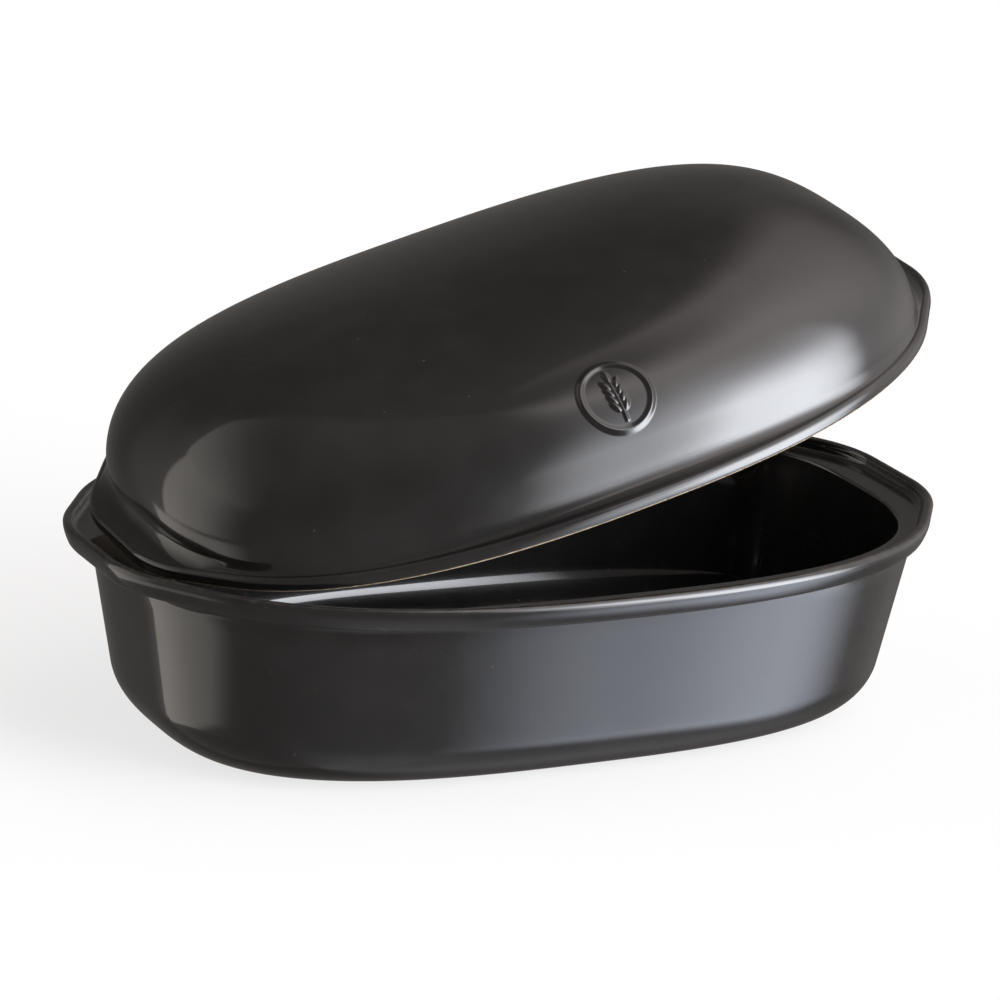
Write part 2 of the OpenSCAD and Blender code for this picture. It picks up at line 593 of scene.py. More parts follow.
@dataclass(frozen=True)
class DomeForm:
    """A dome whose level lines are ovals, fuller along its length than across it."""

    headings: list[float]
    half_length: float
    half_width: float
    foot: float
    rise: float
    power: float = 2.84
    end_shoulder: float = 3.6
    end_crown: float = 2.15
    side_shoulder: float = 1.65
    side_crown: float = 2.75
    softness: float = 0.1

    def level(self, share: float) -> Oval:
        """Finds the dome's level line.

        Args:
            share: Height over the foot, as a share of the rise.

        Returns:
            The oval of the level line.
        """
        bend = self.side_shoulder / 2
        floor = self.softness ** (2 * bend)
        span = (1 + self.softness**2) ** bend - floor
        across = (1 - share**self.side_crown) * span + floor
        width = math.sqrt(max(0.0, across ** (1 / bend) - self.softness**2))
        length = (1 - share**self.end_crown) ** (1 / self.end_shoulder)
        return Oval(self.half_length * length, self.half_width * width, self.power)

    def excess(self, x: float, y: float, z: float) -> float:
        """Says how far a point lies outside the dome, as a number that is 0 on its surface.

        Args:
            x: Place along the dome.
            y: Place across it.
            z: Height.

        Returns:
            Below 0 inside the dome, and above 0 outside.
        """
        share = min(max((z - self.foot) / self.rise, 0.0), 0.999999)
        oval = self.level(share)
        along = (abs(x) / max(oval.half_length, 1e-6)) ** self.power
        across = (abs(y) / max(oval.half_width, 1e-6)) ** self.power
        return along + across - 1

    def height(self, x: float, y: float) -> float:
        """Finds the dome's height over a point of the plan."""
        return cross_zero(lambda z: self.excess(x, y, z), self.foot, self.foot + self.rise, 36)

    def crown_rings(self, share: float, steps: int) -> list[Ring]:
        """Lists rings that shrink from a level line to the crown, laid on the dome.

        Args:
            share: Height of the level line, as a share of the rise.
            steps: Rings to make.

        Returns:
            The rings in order.
        """
        oval = self.level(share)
        edge = [oval.point(h) for h in self.headings]
        return [
            Ring([(s * x, s * y, self.height(s * x, s * y)) for x, y in edge])
            for s in between(1.0, 0.0, steps)
        ]

    def level_ring(self, share: float, **film: float) -> Ring:
        """Makes a ring on one level line.

        Args:
            share: Height of the line, as a share of the rise.
            film: What covers the ring.

        Returns:
            The ring.
        """
        oval = self.level(share)
        height = self.foot + self.rise * share
        return Ring([(*oval.point(h), height) for h in self.headings], **film)


@dataclass(frozen=True)
class DomedLid:
    """The lid as it sits when shut, with its lower face at height 0."""

    headings: list[float]
    rim: RimOutline
    rim_inset: float = 5.0
    height: float = 63.0
    flange_thick: float = 5.8
    flange_edge: float = 1.6
    flange_round: float = 2.5
    flange_ends: float = 7.0
    flange_sides: float = 9.4
    bare_width: float = 2.2
    bare_limits: tuple[float, float] = (0.84, 0.98)
    foot_thin: float = 0.5
    top_thin: float = 0.3
    cove_height: float = 5.6
    wall: float = 6.2
    seat_gap: float = 0.3
    crown_share: float = 0.86

    @property
    def dome(self) -> DomeForm:
        """Outer form of the dome.

        Returns:
            The form over the flange.
        """
        return DomeForm(
            self.headings,
            self.rim.oval.half_length - self.rim_inset - self.flange_ends,
            self.rim.oval.half_width - self.rim_inset - self.flange_sides,
            self.flange_thick,
            self.height - self.flange_thick,
        )

    @property
    def hollow(self) -> DomeForm:
        """Inner form of the dome.

        Returns:
            The form from the lower face up.
        """
        outer = self.dome
        return DomeForm(
            self.headings,
            outer.half_length - self.wall,
            outer.half_width - self.wall,
            0.0,
            self.height - self.wall,
        )

    def edge_ring(self, inset: float, height: float, **film: float) -> Ring:
        """Makes a ring on the lid's outline, which follows the inside of the lip."""
        points = [(*self.rim.point(self.rim_inset + inset, h), height) for h in self.headings]
        return Ring(points, **film)

    def rings(self) -> list[Ring]:
        """Lists the lid's rings from the middle of its hollow to its crown.

        Returns:
            The rings in order.
        """
        return [
            *self._hollow_rings(),
            *self._flange_rings(),
            *self._dome_rings(),
        ]

    def _hollow_rings(self) -> list[Ring]:
        """Lists the rings inside the dome.

        Returns:
            The rings in order.
        """
        hollow = self.hollow
        rings = hollow.crown_rings(self.crown_share, 14)[::-1]
        top = math.degrees(math.asin(self.crown_share))
        rings += [hollow.level_ring(math.sin(a)) for a in arc(top, 3.0, 22)]
        rings.append(hollow.level_ring(0.0, bare=1.0))
        return rings

    def _flange_rings(self) -> list[Ring]:
        """Lists the rings of the bare lower face and of the flange's edges.

        Returns:
            The rings in order.
        """
        edge = self.flange_edge
        rings = [self.edge_ring(edge + self.bare_width, 0.0, bare=1.0)]
        rings += [
            self.edge_ring(
                edge * (1 - math.sin(a)),
                edge * (1 - math.cos(a)),
                bare=1 - smooth_step(math.sin(a), *self.bare_limits),
                thin=self.foot_thin * math.sin(a),
            )
            for a in arc(0, 90, 7)
        ]
        top = self.flange_thick - self.flange_round
        rings += [self.edge_ring(0.0, h) for h in between(edge, top, 2)]
        rings += [
            self.edge_ring(
                self.flange_round * (1 - math.cos(a)),
                top + self.flange_round * math.sin(a),
                thin=self.top_thin * math.sin(2 * a),
            )
            for a in arc(0, 90, 9)
        ]
        return rings

    def _dome_rings(self) -> list[Ring]:
        """Lists the rings of the hollow curve at the dome's foot and of the dome.

        Returns:
            The rings in order.
        """
        dome = self.dome
        foot_share = self.cove_height / dome.rise
        foot = dome.level_ring(foot_share)
        start = self.edge_ring(self.flange_round, self.flange_thick)
        rings = [
            start.towards(foot, math.sin(a), 1 - math.cos(a)) for a in arc(0, 90, 14)[1:-1]
        ]
        first = math.degrees(math.asin(foot_share))
        top = math.degrees(math.asin(self.crown_share))
        rings += [dome.level_ring(math.sin(a)) for a in arc(first, top, 30)]
        rings += dome.crown_rings(self.crown_share, 18)
        return rings

    def propped(self, joint: dict, ledge: float) -> Matrix:
        """Finds where the propped lid stands.

        Args:
            joint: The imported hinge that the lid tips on; its lower limit is the shut lid.
            ledge: Height of the dish's ledge.

        Returns:
            The matrix from the shut lid's own place, in metres.
        """
        pivot = Vector(joint["pos_m"])
        tilt = -math.radians(joint["range_deg"][0])
        seat = Matrix.Translation((0.0, 0.0, (ledge + self.seat_gap) * MM))
        turn = Matrix.Rotation(tilt, 4, Vector(joint["axis"]))
        return Matrix.Translation(pivot) @ turn @ Matrix.Translation(-pivot) @ seat

    def build(self, place: Matrix) -> bpy.types.Object:
        """Builds the lid and stands it in its place.

        Args:
            place: Matrix from the shut lid's own place.

        Returns:
            The lid, at the origin.
        """
        skin = Skin("stoneware_lid", len(self.headings))
        ceiling = (0.0, 0.0, self.height - self.wall)
        piece = skin.loft(ceiling, self.rings(), (0.0, 0.0, self.height))
        return settle(piece, place)


def settle(piece: bpy.types.Object, place: Matrix) -> bpy.types.Object:
    """Turns a piece into its place and leaves its object at the origin.

    Args:
        piece: The piece, as it was modelled.
        place: Matrix to its place.

    Returns:
        The same piece.
    """
    deselect_all()
    piece.select_set(True)
    bpy.context.view_layer.objects.active = piece
    piece.matrix_world = place
    bpy.ops.object.transform_apply(location=True, rotation=True, scale=True)
    return piece


@dataclass(frozen=True)
class Grain:
    """One grain of the wheat ear, as a leaning oval."""

    x: float
    y: float
    lean: float
    half_length: float = 3.1
    half_width: float = 1.55
    softness: float = 1.3

    def swell(self, x: float, y: float) -> float:
        """Returns the grain's height at a point, from 0 at its edge to 1 at its middle.

        Args:
            x: Place across the ear.
            y: Place up the ear.

        Returns:
            The height as a share.
        """
        cosine, sine = math.cos(self.lean), math.sin(self.lean)
        along = ((x - self.x) * cosine + (y - self.y) * sine) / self.half_length
        across = ((y - self.y) * cosine - (x - self.x) * sine) / self.half_width
        square = along * along + across * across
        return (1 - square) ** self.softness if square < 1 else 0.0


def smooth_step(value: float, low: float, high: float) -> float:
    """Eases a value from 0 at low to 1 at high."""
    share = min(max((value - low) / (high - low), 0.0), 1.0)
    return share * share * (3 - 2 * share)


@dataclass(frozen=True)
class Medallion:
    """A round medallion pressed on the front of the dome, with an ear of wheat in its field."""

    height: float = 38.0
    offset: float = 2.5
    radius: float = 15.9
    crest_radius: float = 14.0
    field_radius: float = 12.1
    rim_relief: float = 1.05
    field_relief: float = 0.42
    motif_relief: float = 0.85
    stalk_share: float = 0.7
    stalk_half_width: float = 1.1
    stalk_foot: float = -11.2
    stalk_top: float = 7.0
    top_grain: float = 8.4
    pairs: int = 4
    first_pair: float = 5.0
    pair_step: float = 3.1
    pair_reach: float = 2.25
    pair_lean: float = math.radians(32)
    flush: float = 0.02
    sink: float = 1.0
    points: int = 224
    rings: int = 64
    reach: float = 17.5

    def grains(self) -> list[Grain]:
        """Lays the grains in pairs up the stalk, with one at the top.

        Returns:
            The grains of the ear.
        """
        upright = math.pi / 2
        grains = [Grain(0.0, self.top_grain, upright)]
        for row in range(self.pairs):
            base = self.first_pair - row * self.pair_step
            for side in (-1, 1):
                grains.append(Grain(side * self.pair_reach, base, upright - side * self.pair_lean))
        return grains

    def relief(self, x: float, y: float, grains: list[Grain]) -> float:
        """Returns the relief over the dome at a point of the medallion.

        Args:
            x: Distance along the lid from the medallion's middle.
            y: Distance up the dome from the medallion's middle.
            grains: The grains of the ear.

        Returns:
            The relief in millimetres, never below the flush film.
        """
        away = math.hypot(x, y)
        outer = 1 - smooth_step(away, self.crest_radius, self.radius)
        inner = smooth_step(away, self.field_radius, self.crest_radius)
        base = outer * (self.field_relief + (self.rim_relief - self.field_relief) * inner)
        ear = max(grain.swell(x, y) for grain in grains)
        stalk = 1 - smooth_step(abs(x), self.stalk_half_width - 1.0, self.stalk_half_width)
        stalk *= smooth_step(y, self.stalk_foot, self.stalk_foot + 0.8)
        stalk *= 1 - smooth_step(y, self.stalk_top - 2.0, self.stalk_top)
        return self.flush + base + self.motif_relief * max(ear, self.stalk_share * stalk)

    def build(self, lid: DomedLid, place: Matrix) -> bpy.types.Object:
        """Builds the medallion on the dome and stands it with the lid.

        Args:
            lid: The lid that carries it.
            place: Matrix from the shut lid's own place.

        Returns:
            The medallion, at the origin.
        """
        dome = lid.dome
        middle = self._on_dome(dome, self.offset, self.height)
        above = self._on_dome(dome, self.offset, self.height + 1.0)
        up = (above - self._on_dome(dome, self.offset, self.height - 1.0)).normalized()
        along = Vector((1.0, 0.0, 0.0))
        normal = along.cross(up)
        grains = self.grains()
        rings = []
        for step in range(self.rings):
            radius = self.reach * (1 - step / self.rings)
            points = []
            for index in range(self.points):
                a = FULL_TURN * index / self.points
                x, y = radius * math.cos(a), radius * math.sin(a)
                foot = self._drop(dome, middle + x * along + y * up, normal)
                points.append(tuple(foot + self.relief(x, y, grains) * normal))
            rings.append(Ring(points))
        sunk = Ring([tuple(Vector(point) - self.sink * normal) for point in rings[0].points])
        centre = self._drop(dome, middle, normal)
        back = tuple(centre - self.sink * normal)
        face = tuple(centre + self.relief(0.0, 0.0, grains) * normal)
        return settle(Skin("medallion", self.points).loft(back, [sunk, *rings], face), place)

    @staticmethod
    def _on_dome(dome: DomeForm, x: float, z: float) -> Vector:
        """Finds the point of the dome's front at a height.

        Args:
            dome: The form of the dome.
            x: Place along the dome.
            z: Height.

        Returns:
            The point.
        """
        oval = dome.level((z - dome.foot) / dome.rise)
        share = 1 - (abs(x) / oval.half_length) ** oval.power
        return Vector((x, -oval.half_width * share ** (1 / oval.power), z))

    @staticmethod
    def _drop(dome: DomeForm, point: Vector, normal: Vector) -> Vector:
        """Moves a point along a normal to the dome's surface."""
        way = cross_zero(lambda step: dome.excess(*(point + step * normal)), -8.0, 8.0, 28)
        return point + way * normal


class NodeBoard:
    """Adds the nodes of one tree and joins them."""

    def __init__(self, tree: bpy.types.NodeTree) -> None:
        """Starts on a tree with no nodes."""
        self.tree = tree
        tree.nodes.clear()

    def add(self, kind: str, **settings: object) -> bpy.types.Node:
        """Adds a node and sets its properties.

        Args:
            kind: The node's type.
            settings: Its properties by name.

        Returns:
            The node.
        """
        node = self.tree.nodes.new(kind)
        for name, value in settings.items():
            setattr(node, name, value)
        return node

    def feed(self, target: bpy.types.NodeSocket, value: object) -> None:
        """Links a socket to another, or sets its value.

        Args:
            target: The input that gets the value.
            value: A socket, a colour or a number.
        """
        if isinstance(value, bpy.types.NodeSocket):
            self.tree.links.new(value, target)
        elif isinstance(value, tuple) and len(value) == 3 and target.type == "RGBA":
            target.default_value = (*value, 1.0)
        else:
            target.default_value = value

    def maths(self, operation: str, *values: object, clamp: bool = False) -> bpy.types.NodeSocket:
        """Works out one sum and returns its result.

        Args:
            operation: Name of the sum.
            values: Its terms.
            clamp: Whether the result stays between 0 and 1.

        Returns:
            The result.
        """
        node = self.add("ShaderNodeMath", operation=operation, use_clamp=clamp)
        for socket, value in zip(node.inputs, values):
            self.feed(socket, value)
        return node.outputs[0]

    def blend(
        self, factor: object, first: object, second: object, how: str = "MIX"
    ) -> bpy.types.NodeSocket:
        """Mixes two colours and returns the result.

        Args:
            factor: Share of the second colour.
            first: The first colour.
            second: The second colour.
            how: Way to blend them.

        Returns:
            The mixed colour.
        """
        node = self.add("ShaderNodeMix", data_type="RGBA", blend_type=how, clamp_factor=True)
        self.feed(node.inputs["Factor"], factor)
        self.feed(node.inputs[6], first)
        self.feed(node.inputs[7], second)
        return node.outputs[2]

    def ease(
        self, value: object, low: float, high: float, start: float = 0.0, stop: float = 1.0
    ) -> bpy.types.NodeSocket:
        """Maps a range smoothly to another and returns the result.

        Args:
            value: The value to map.
            low: Where its range starts.
            high: Where its range ends.
            start: The result at low.
            stop: The result at high.

        Returns:
            The mapped value.
        """
        node = self.add("ShaderNodeMapRange", interpolation_type="SMOOTHSTEP", clamp=True)
        for socket, given in zip(node.inputs, (value, low, high, start, stop)):
            self.feed(socket, given)
        return node.outputs[0]

    def noise(self, where: object, scale: float, detail: float) -> bpy.types.NodeSocket:
        """Adds a noise and returns its values.

        Args:
            where: The coordinates.
            scale: Waves in a metre.
            detail: Layers of finer noise.

        Returns:
            The values, about 0.5 on average.
        """
        node = self.add("ShaderNodeTexNoise", normalize=True)
        self.feed(node.inputs["Vector"], where)
        self.feed(node.inputs["Scale"], scale)
        self.feed(node.inputs["Detail"], detail)
        return node.outputs["Fac"]


class Effect:
    """A shader node group with named inputs and outputs, built once and shared."""

    name = ""
    inputs: tuple[tuple[str, str, object], ...] = ()
    outputs: tuple[tuple[str, str], ...] = ()

    def group(self) -> bpy.types.NodeTree:
        """Returns the group, and builds it the first time.

        Returns:
            The shared node group.
        """
        known = bpy.data.node_groups.get(self.name)
        if known:
            return known
        tree = bpy.data.node_groups.new(self.name, "ShaderNodeTree")
        for label, kind, value in self.inputs:
            socket = tree.interface.new_socket(label, in_out="INPUT", socket_type=kind)
            socket.default_value = value
        for label, kind in self.outputs:
            tree.interface.new_socket(label, in_out="OUTPUT", socket_type=kind)
        board = NodeBoard(tree)
        given = board.add("NodeGroupInput")
        result = board.add("NodeGroupOutput")
        for label, socket in self.work(board, given).items():
            board.feed(result.inputs[label], socket)
        return tree

    def work(self, board: NodeBoard, given: bpy.types.Node) -> dict[str, bpy.types.NodeSocket]:
        """Adds the group's nodes and returns what each output gets."""
        raise NotImplementedError

    def place(self, board: NodeBoard, **values: object) -> bpy.types.Node:
        """Puts the group in a material.

        Args:
            board: The material's board.
            values: What each input gets, by its label with _ for a space.

        Returns:
            The group node.
        """
        node = board.add("ShaderNodeGroup", node_tree=self.group())
        for label, value in values.items():
            board.feed(node.inputs[label.replace("_", " ")], value)
        return node


FLOAT = "NodeSocketFloat"
COLOUR = "NodeSocketColor"
VECTOR = "NodeSocketVector"


class GlazeCloud(Effect):
    """Slow drift of a glaze between two tones, and the faint waves of its surface."""

    name = "glaze_cloud"
    inputs = (
        ("Where", VECTOR, (0.0, 0.0, 0.0)),
        ("Deep", COLOUR, (0.0, 0.0, 0.0, 1.0)),
        ("Light", COLOUR, (0.0, 0.0, 0.0, 1.0)),
    )
    outputs = (("Colour", COLOUR), ("Wave", FLOAT), ("Drift", FLOAT))

    def work(self, board: NodeBoard, given: bpy.types.Node) -> dict[str, bpy.types.NodeSocket]:
        """Adds two sizes of cloud and a fine ripple.

        Args:
            board: The group's board.
            given: The group's input node.

        Returns:
            What each output gets.
        """
        where = given.outputs["Where"]
        wide = board.noise(where, 9.0, 3.0)
        fine = board.noise(where, 70.0, 3.0)
        drift = board.maths("MULTIPLY_ADD", fine, 0.35, board.maths("MULTIPLY", wide, 0.65))
        share = board.ease(drift, 0.38, 0.64)
        colour = board.blend(share, given.outputs["Deep"], given.outputs["Light"])
        return {"Colour": colour, "Wave": board.noise(where, 130.0, 2.0), "Drift": share}


class GlazeSpecks(Effect):
    """Small specks and pinholes scattered through a glaze."""

    name = "glaze_specks"
    inputs = (
        ("Where", VECTOR, (0.0, 0.0, 0.0)),
        ("Scale", FLOAT, 300.0),
        ("Share", FLOAT, 0.1),
        ("Size", FLOAT, 0.1),
    )
    outputs = (("Mask", FLOAT),)

    def work(self, board: NodeBoard, given: bpy.types.Node) -> dict[str, bpy.types.NodeSocket]:
        """Keeps a dot in some cells of a cell pattern.

        Args:
            board: The group's board.
            given: The group's input node.

        Returns:
            What each output gets.
        """
        cells = board.add("ShaderNodeTexVoronoi", feature="F1")
        board.feed(cells.inputs["Vector"], given.outputs["Where"])
        board.feed(cells.inputs["Scale"], given.outputs["Scale"])
        split = board.add("ShaderNodeSeparateColor")
        board.feed(split.inputs[0], cells.outputs["Color"])
        kept = board.maths("LESS_THAN", split.outputs[0], given.outputs["Share"])
        size = board.maths("MULTIPLY", given.outputs["Size"], split.outputs[1])
        dot = board.maths("SUBTRACT", size, cells.outputs["Distance"])
        dot = board.maths("MULTIPLY", dot, 30.0, clamp=True)
        return {"Mask": board.maths("MULTIPLY", dot, kept, clamp=True)}


class FilmEdge(Effect):
    """Breaks an even mask up, as a film of glaze thins unevenly along an edge."""

    name = "film_edge"
    inputs = (("Where", VECTOR, (0.0, 0.0, 0.0)), ("Mask", FLOAT, 0.0), ("Scale", FLOAT, 160.0))
    outputs = (("Mask", FLOAT),)

    def work(self, board: NodeBoard, given: bpy.types.Node) -> dict[str, bpy.types.NodeSocket]:
        """Shifts the mask by a noise and sharpens it.

        Args:
            board: The group's board.
            given: The group's input node.

        Returns:
            What each output gets.
        """
        rough = board.noise(given.outputs["Where"], given.outputs["Scale"], 4.0)
        moved = board.maths("ADD", given.outputs["Mask"], board.maths("SUBTRACT", rough, 0.5))
        inside = board.maths("MULTIPLY", moved, board.ease(given.outputs["Mask"], 0.0, 0.2))
        return {"Mask": board.ease(inside, 0.3, 0.8)}


class ClayGrain(Effect):
    """Bare fired clay: a buff ground with fine sand and darker grog."""

    name = "clay_grain"
    inputs = (("Where", VECTOR, (0.0, 0.0, 0.0)), ("Clay", COLOUR, (0.5, 0.4, 0.3, 1.0)))
    outputs = (("Colour", COLOUR), ("Height", FLOAT))

    def work(self, board: NodeBoard, given: bpy.types.Node) -> dict[str, bpy.types.NodeSocket]:
        """Mixes a sandy tone and grog into the ground.

        Args:
            board: The group's board.
            given: The group's input node.

        Returns:
            What each output gets.
        """
        where = given.outputs["Where"]
        sand = board.noise(where, 900.0, 4.0)
        darker = board.blend(1.0, given.outputs["Clay"], (0.62, 0.58, 0.52), "MULTIPLY")
        ground = board.blend(board.ease(sand, 0.3, 0.75), darker, given.outputs["Clay"])
        grog = GlazeSpecks().place(board, Where=where, Scale=520.0, Share=0.16, Size=0.34)
        colour = board.blend(grog.outputs["Mask"], ground, (0.16, 0.11, 0.07))
        return {"Colour": colour, "Height": sand}


@dataclass(frozen=True)
class StonewareFinish:
    """Charcoal glaze over buff clay."""

    name: str
    deep: Colour
    light: Colour
    thin: Colour = (0.034, 0.029, 0.025)
    clay: Colour = (0.56, 0.45, 0.33)
    speck: Colour = (0.05, 0.047, 0.043)
    roughness: float = 0.26
    coat: float = 0.85
    coat_roughness: float = 0.035
    ior: float = 1.27
    clay_roughness: float = 0.82
    wave: float = 0.035
    pit_depth: float = 0.05
    grain_depth: float = 0.12
    thin_scale: float = 170.0
    bare_scale: float = 420.0
    thin_strength: float = 0.75
    speck_strength: float = 0.7
    speck_share: float = 0.05

    def material(self) -> bpy.types.Material:
        """Builds the material.

        Returns:
            A material that reads the film attributes of its piece.
        """
        material = bpy.data.materials.new(self.name)
        material.use_nodes = True
        material.diffuse_color = (*self.light, 1.0)
        board = NodeBoard(material.node_tree)
        where = board.add("ShaderNodeTexCoord").outputs["Object"]
        thin = self._film(board, Film.THIN, where, self.thin_scale)
        bare = self._film(board, Film.BARE, where, self.bare_scale)
        cloud = GlazeCloud().place(board, Where=where, Deep=self.deep, Light=self.light)
        specks = GlazeSpecks().place(
            board, Where=where, Scale=260.0, Share=self.speck_share, Size=0.16
        )
        pits = GlazeSpecks().place(board, Where=where, Scale=170.0, Share=0.04, Size=0.12)
        clay = ClayGrain().place(board, Where=where, Clay=self.clay)
        dark = board.maths("MULTIPLY", specks.outputs["Mask"], self.speck_strength)
        colour = board.blend(dark, cloud.outputs["Colour"], self.speck)
        edge = board.maths("MULTIPLY", thin, self.thin_strength)
        colour = board.blend(edge, colour, self.thin)
        colour = board.blend(bare, colour, clay.outputs["Colour"])
        shine = board.maths("MULTIPLY_ADD", cloud.outputs["Drift"], 0.04, self.roughness - 0.02)
        roughness = board.ease(bare, 0.0, 1.0, shine, self.clay_roughness)
        height = board.maths("MULTIPLY", cloud.outputs["Wave"], self.wave)
        height = board.maths("MULTIPLY_ADD", pits.outputs["Mask"], -self.pit_depth, height)
        grain = board.maths("MULTIPLY", clay.outputs["Height"], bare)
        height = board.maths("MULTIPLY_ADD", grain, self.grain_depth, height)
        bump = board.add("ShaderNodeBump")
        board.feed(bump.inputs["Strength"], 1.0)
        board.feed(bump.inputs["Distance"], MM)
        board.feed(bump.inputs["Height"], height)
        shader = board.add("ShaderNodeBsdfPrincipled")
        board.feed(shader.inputs["Base Color"], colour)
        board.feed(shader.inputs["Roughness"], roughness)
        board.feed(shader.inputs["IOR"], self.ior)
        board.feed(shader.inputs["Coat Weight"], board.ease(bare, 0.0, 1.0, self.coat, 0.0))
        board.feed(shader.inputs["Coat Roughness"], self.coat_roughness)
        board.feed(shader.inputs["Normal"], bump.outputs["Normal"])
        output = board.add("ShaderNodeOutputMaterial")
        board.feed(output.inputs["Surface"], shader.outputs["BSDF"])
        return material

    @staticmethod
    def _film(
        board: NodeBoard, film: Film, where: bpy.types.NodeSocket, scale: float
    ) -> bpy.types.NodeSocket:
        """Reads a film attribute and breaks its edge up.

        Args:
            board: The material's board.
            film: Which film.
            where: The coordinates.
            scale: Fineness of the edge's breaks.

        Returns:
            The mask of the film.
        """
        stored = board.add("ShaderNodeAttribute", attribute_name=film.value)
        edge = FilmEdge().place(board, Where=where, Mask=stored.outputs["Fac"], Scale=scale)
        return edge.outputs["Mask"]


SIDES = ("Left", "Right", "Low", "High")


class SkySector(Effect):
    """Says how far a direction lies inside a soft-edged sector of the studio's surround."""

    name = "sky_sector"
    inputs = (
        ("Heading", FLOAT, 0.0),
        ("Rise", FLOAT, 0.0),
        *((side, FLOAT, 0.0) for side in SIDES),
        *((f"{side} Fade", FLOAT, 5.0) for side in SIDES),
    )
    outputs = (("Mask", FLOAT),)

    def work(self, board: NodeBoard, given: bpy.types.Node) -> dict[str, bpy.types.NodeSocket]:
        """Multiplies the four eased edges.

        Args:
            board: The group's board.
            given: The group's input node.

        Returns:
            What each output gets.
        """
        mask = None
        edges = (("Heading", "Left", "Right"), ("Rise", "Low", "High"))
        for measure, start, stop in edges:
            value = given.outputs[measure]
            inner = board.maths("SUBTRACT", value, given.outputs[start])
            outer = board.maths("SUBTRACT", given.outputs[stop], value)
            for room, fade in ((inner, f"{start} Fade"), (outer, f"{stop} Fade")):
                edge = board.ease(board.maths("DIVIDE", room, given.outputs[fade]), -0.5, 0.5)
                mask = edge if mask is None else board.maths("MULTIPLY", mask, edge)
        return {"Mask": mask}


COOL: Colour = (0.96, 1.0, 1.08)
CORE: Colour = (0.97, 1.0, 1.06)
BLUE: Colour = (0.93, 1.0, 1.16)
PALE: Colour = (1.0, 1.0, 1.08)
ROSE: Colour = (1.06, 1.0, 1.0)
PINK: Colour = (1.14, 1.0, 0.98)
WARM: Colour = (1.06, 1.0, 0.98)
AMBER: Colour = (1.06, 1.0, 0.93)


@dataclass(frozen=True)
class LightPanel:
    """A lit panel or wall of the studio, by the directions that it fills in degrees.

    Its ends stand at left and right at its foot, and drift left by a share of the rise over
    that, up to the rise where they settle. Its foot and top can lean by a share of the way
    from the left end.
    """

    left: float
    right: float
    low: float
    high: float
    fades: tuple[float, float, float, float]
    strength: float
    colour: Colour
    lean: float = 0.0
    drift: float = 0.0
    settled: float = 90.0

    def shine(
        self, board: NodeBoard, heading: bpy.types.NodeSocket, rise: bpy.types.NodeSocket
    ) -> bpy.types.NodeSocket:
        """Adds the panel's light.

        Args:
            board: The world's board.
            heading: Direction round the object, in degrees from the front, left below 0.
            rise: Direction up, in degrees over the horizon.

        Returns:
            The panel's colour and strength in each direction.
        """
        if self.lean:
            along = board.maths("SUBTRACT", heading, self.left)
            rise = board.maths("MULTIPLY_ADD", along, -self.lean, rise)
        if self.drift:
            over = board.maths("SUBTRACT", board.maths("MINIMUM", rise, self.settled), self.low)
            heading = board.maths("MULTIPLY_ADD", over, self.drift, heading)
        bounds = dict(zip(SIDES, (self.left, self.right, self.low, self.high)))
        fades = {f"{side}_Fade": fade for side, fade in zip(SIDES, self.fades)}
        sector = SkySector().place(board, Heading=heading, Rise=rise, **bounds, **fades)
        glow = board.maths("MULTIPLY", sector.outputs["Mask"], self.strength)
        scaled = board.add("ShaderNodeVectorMath", operation="SCALE")
        board.feed(scaled.inputs[0], self.colour)
        board.feed(scaled.inputs["Scale"], glow)
        return scaled.outputs[0]


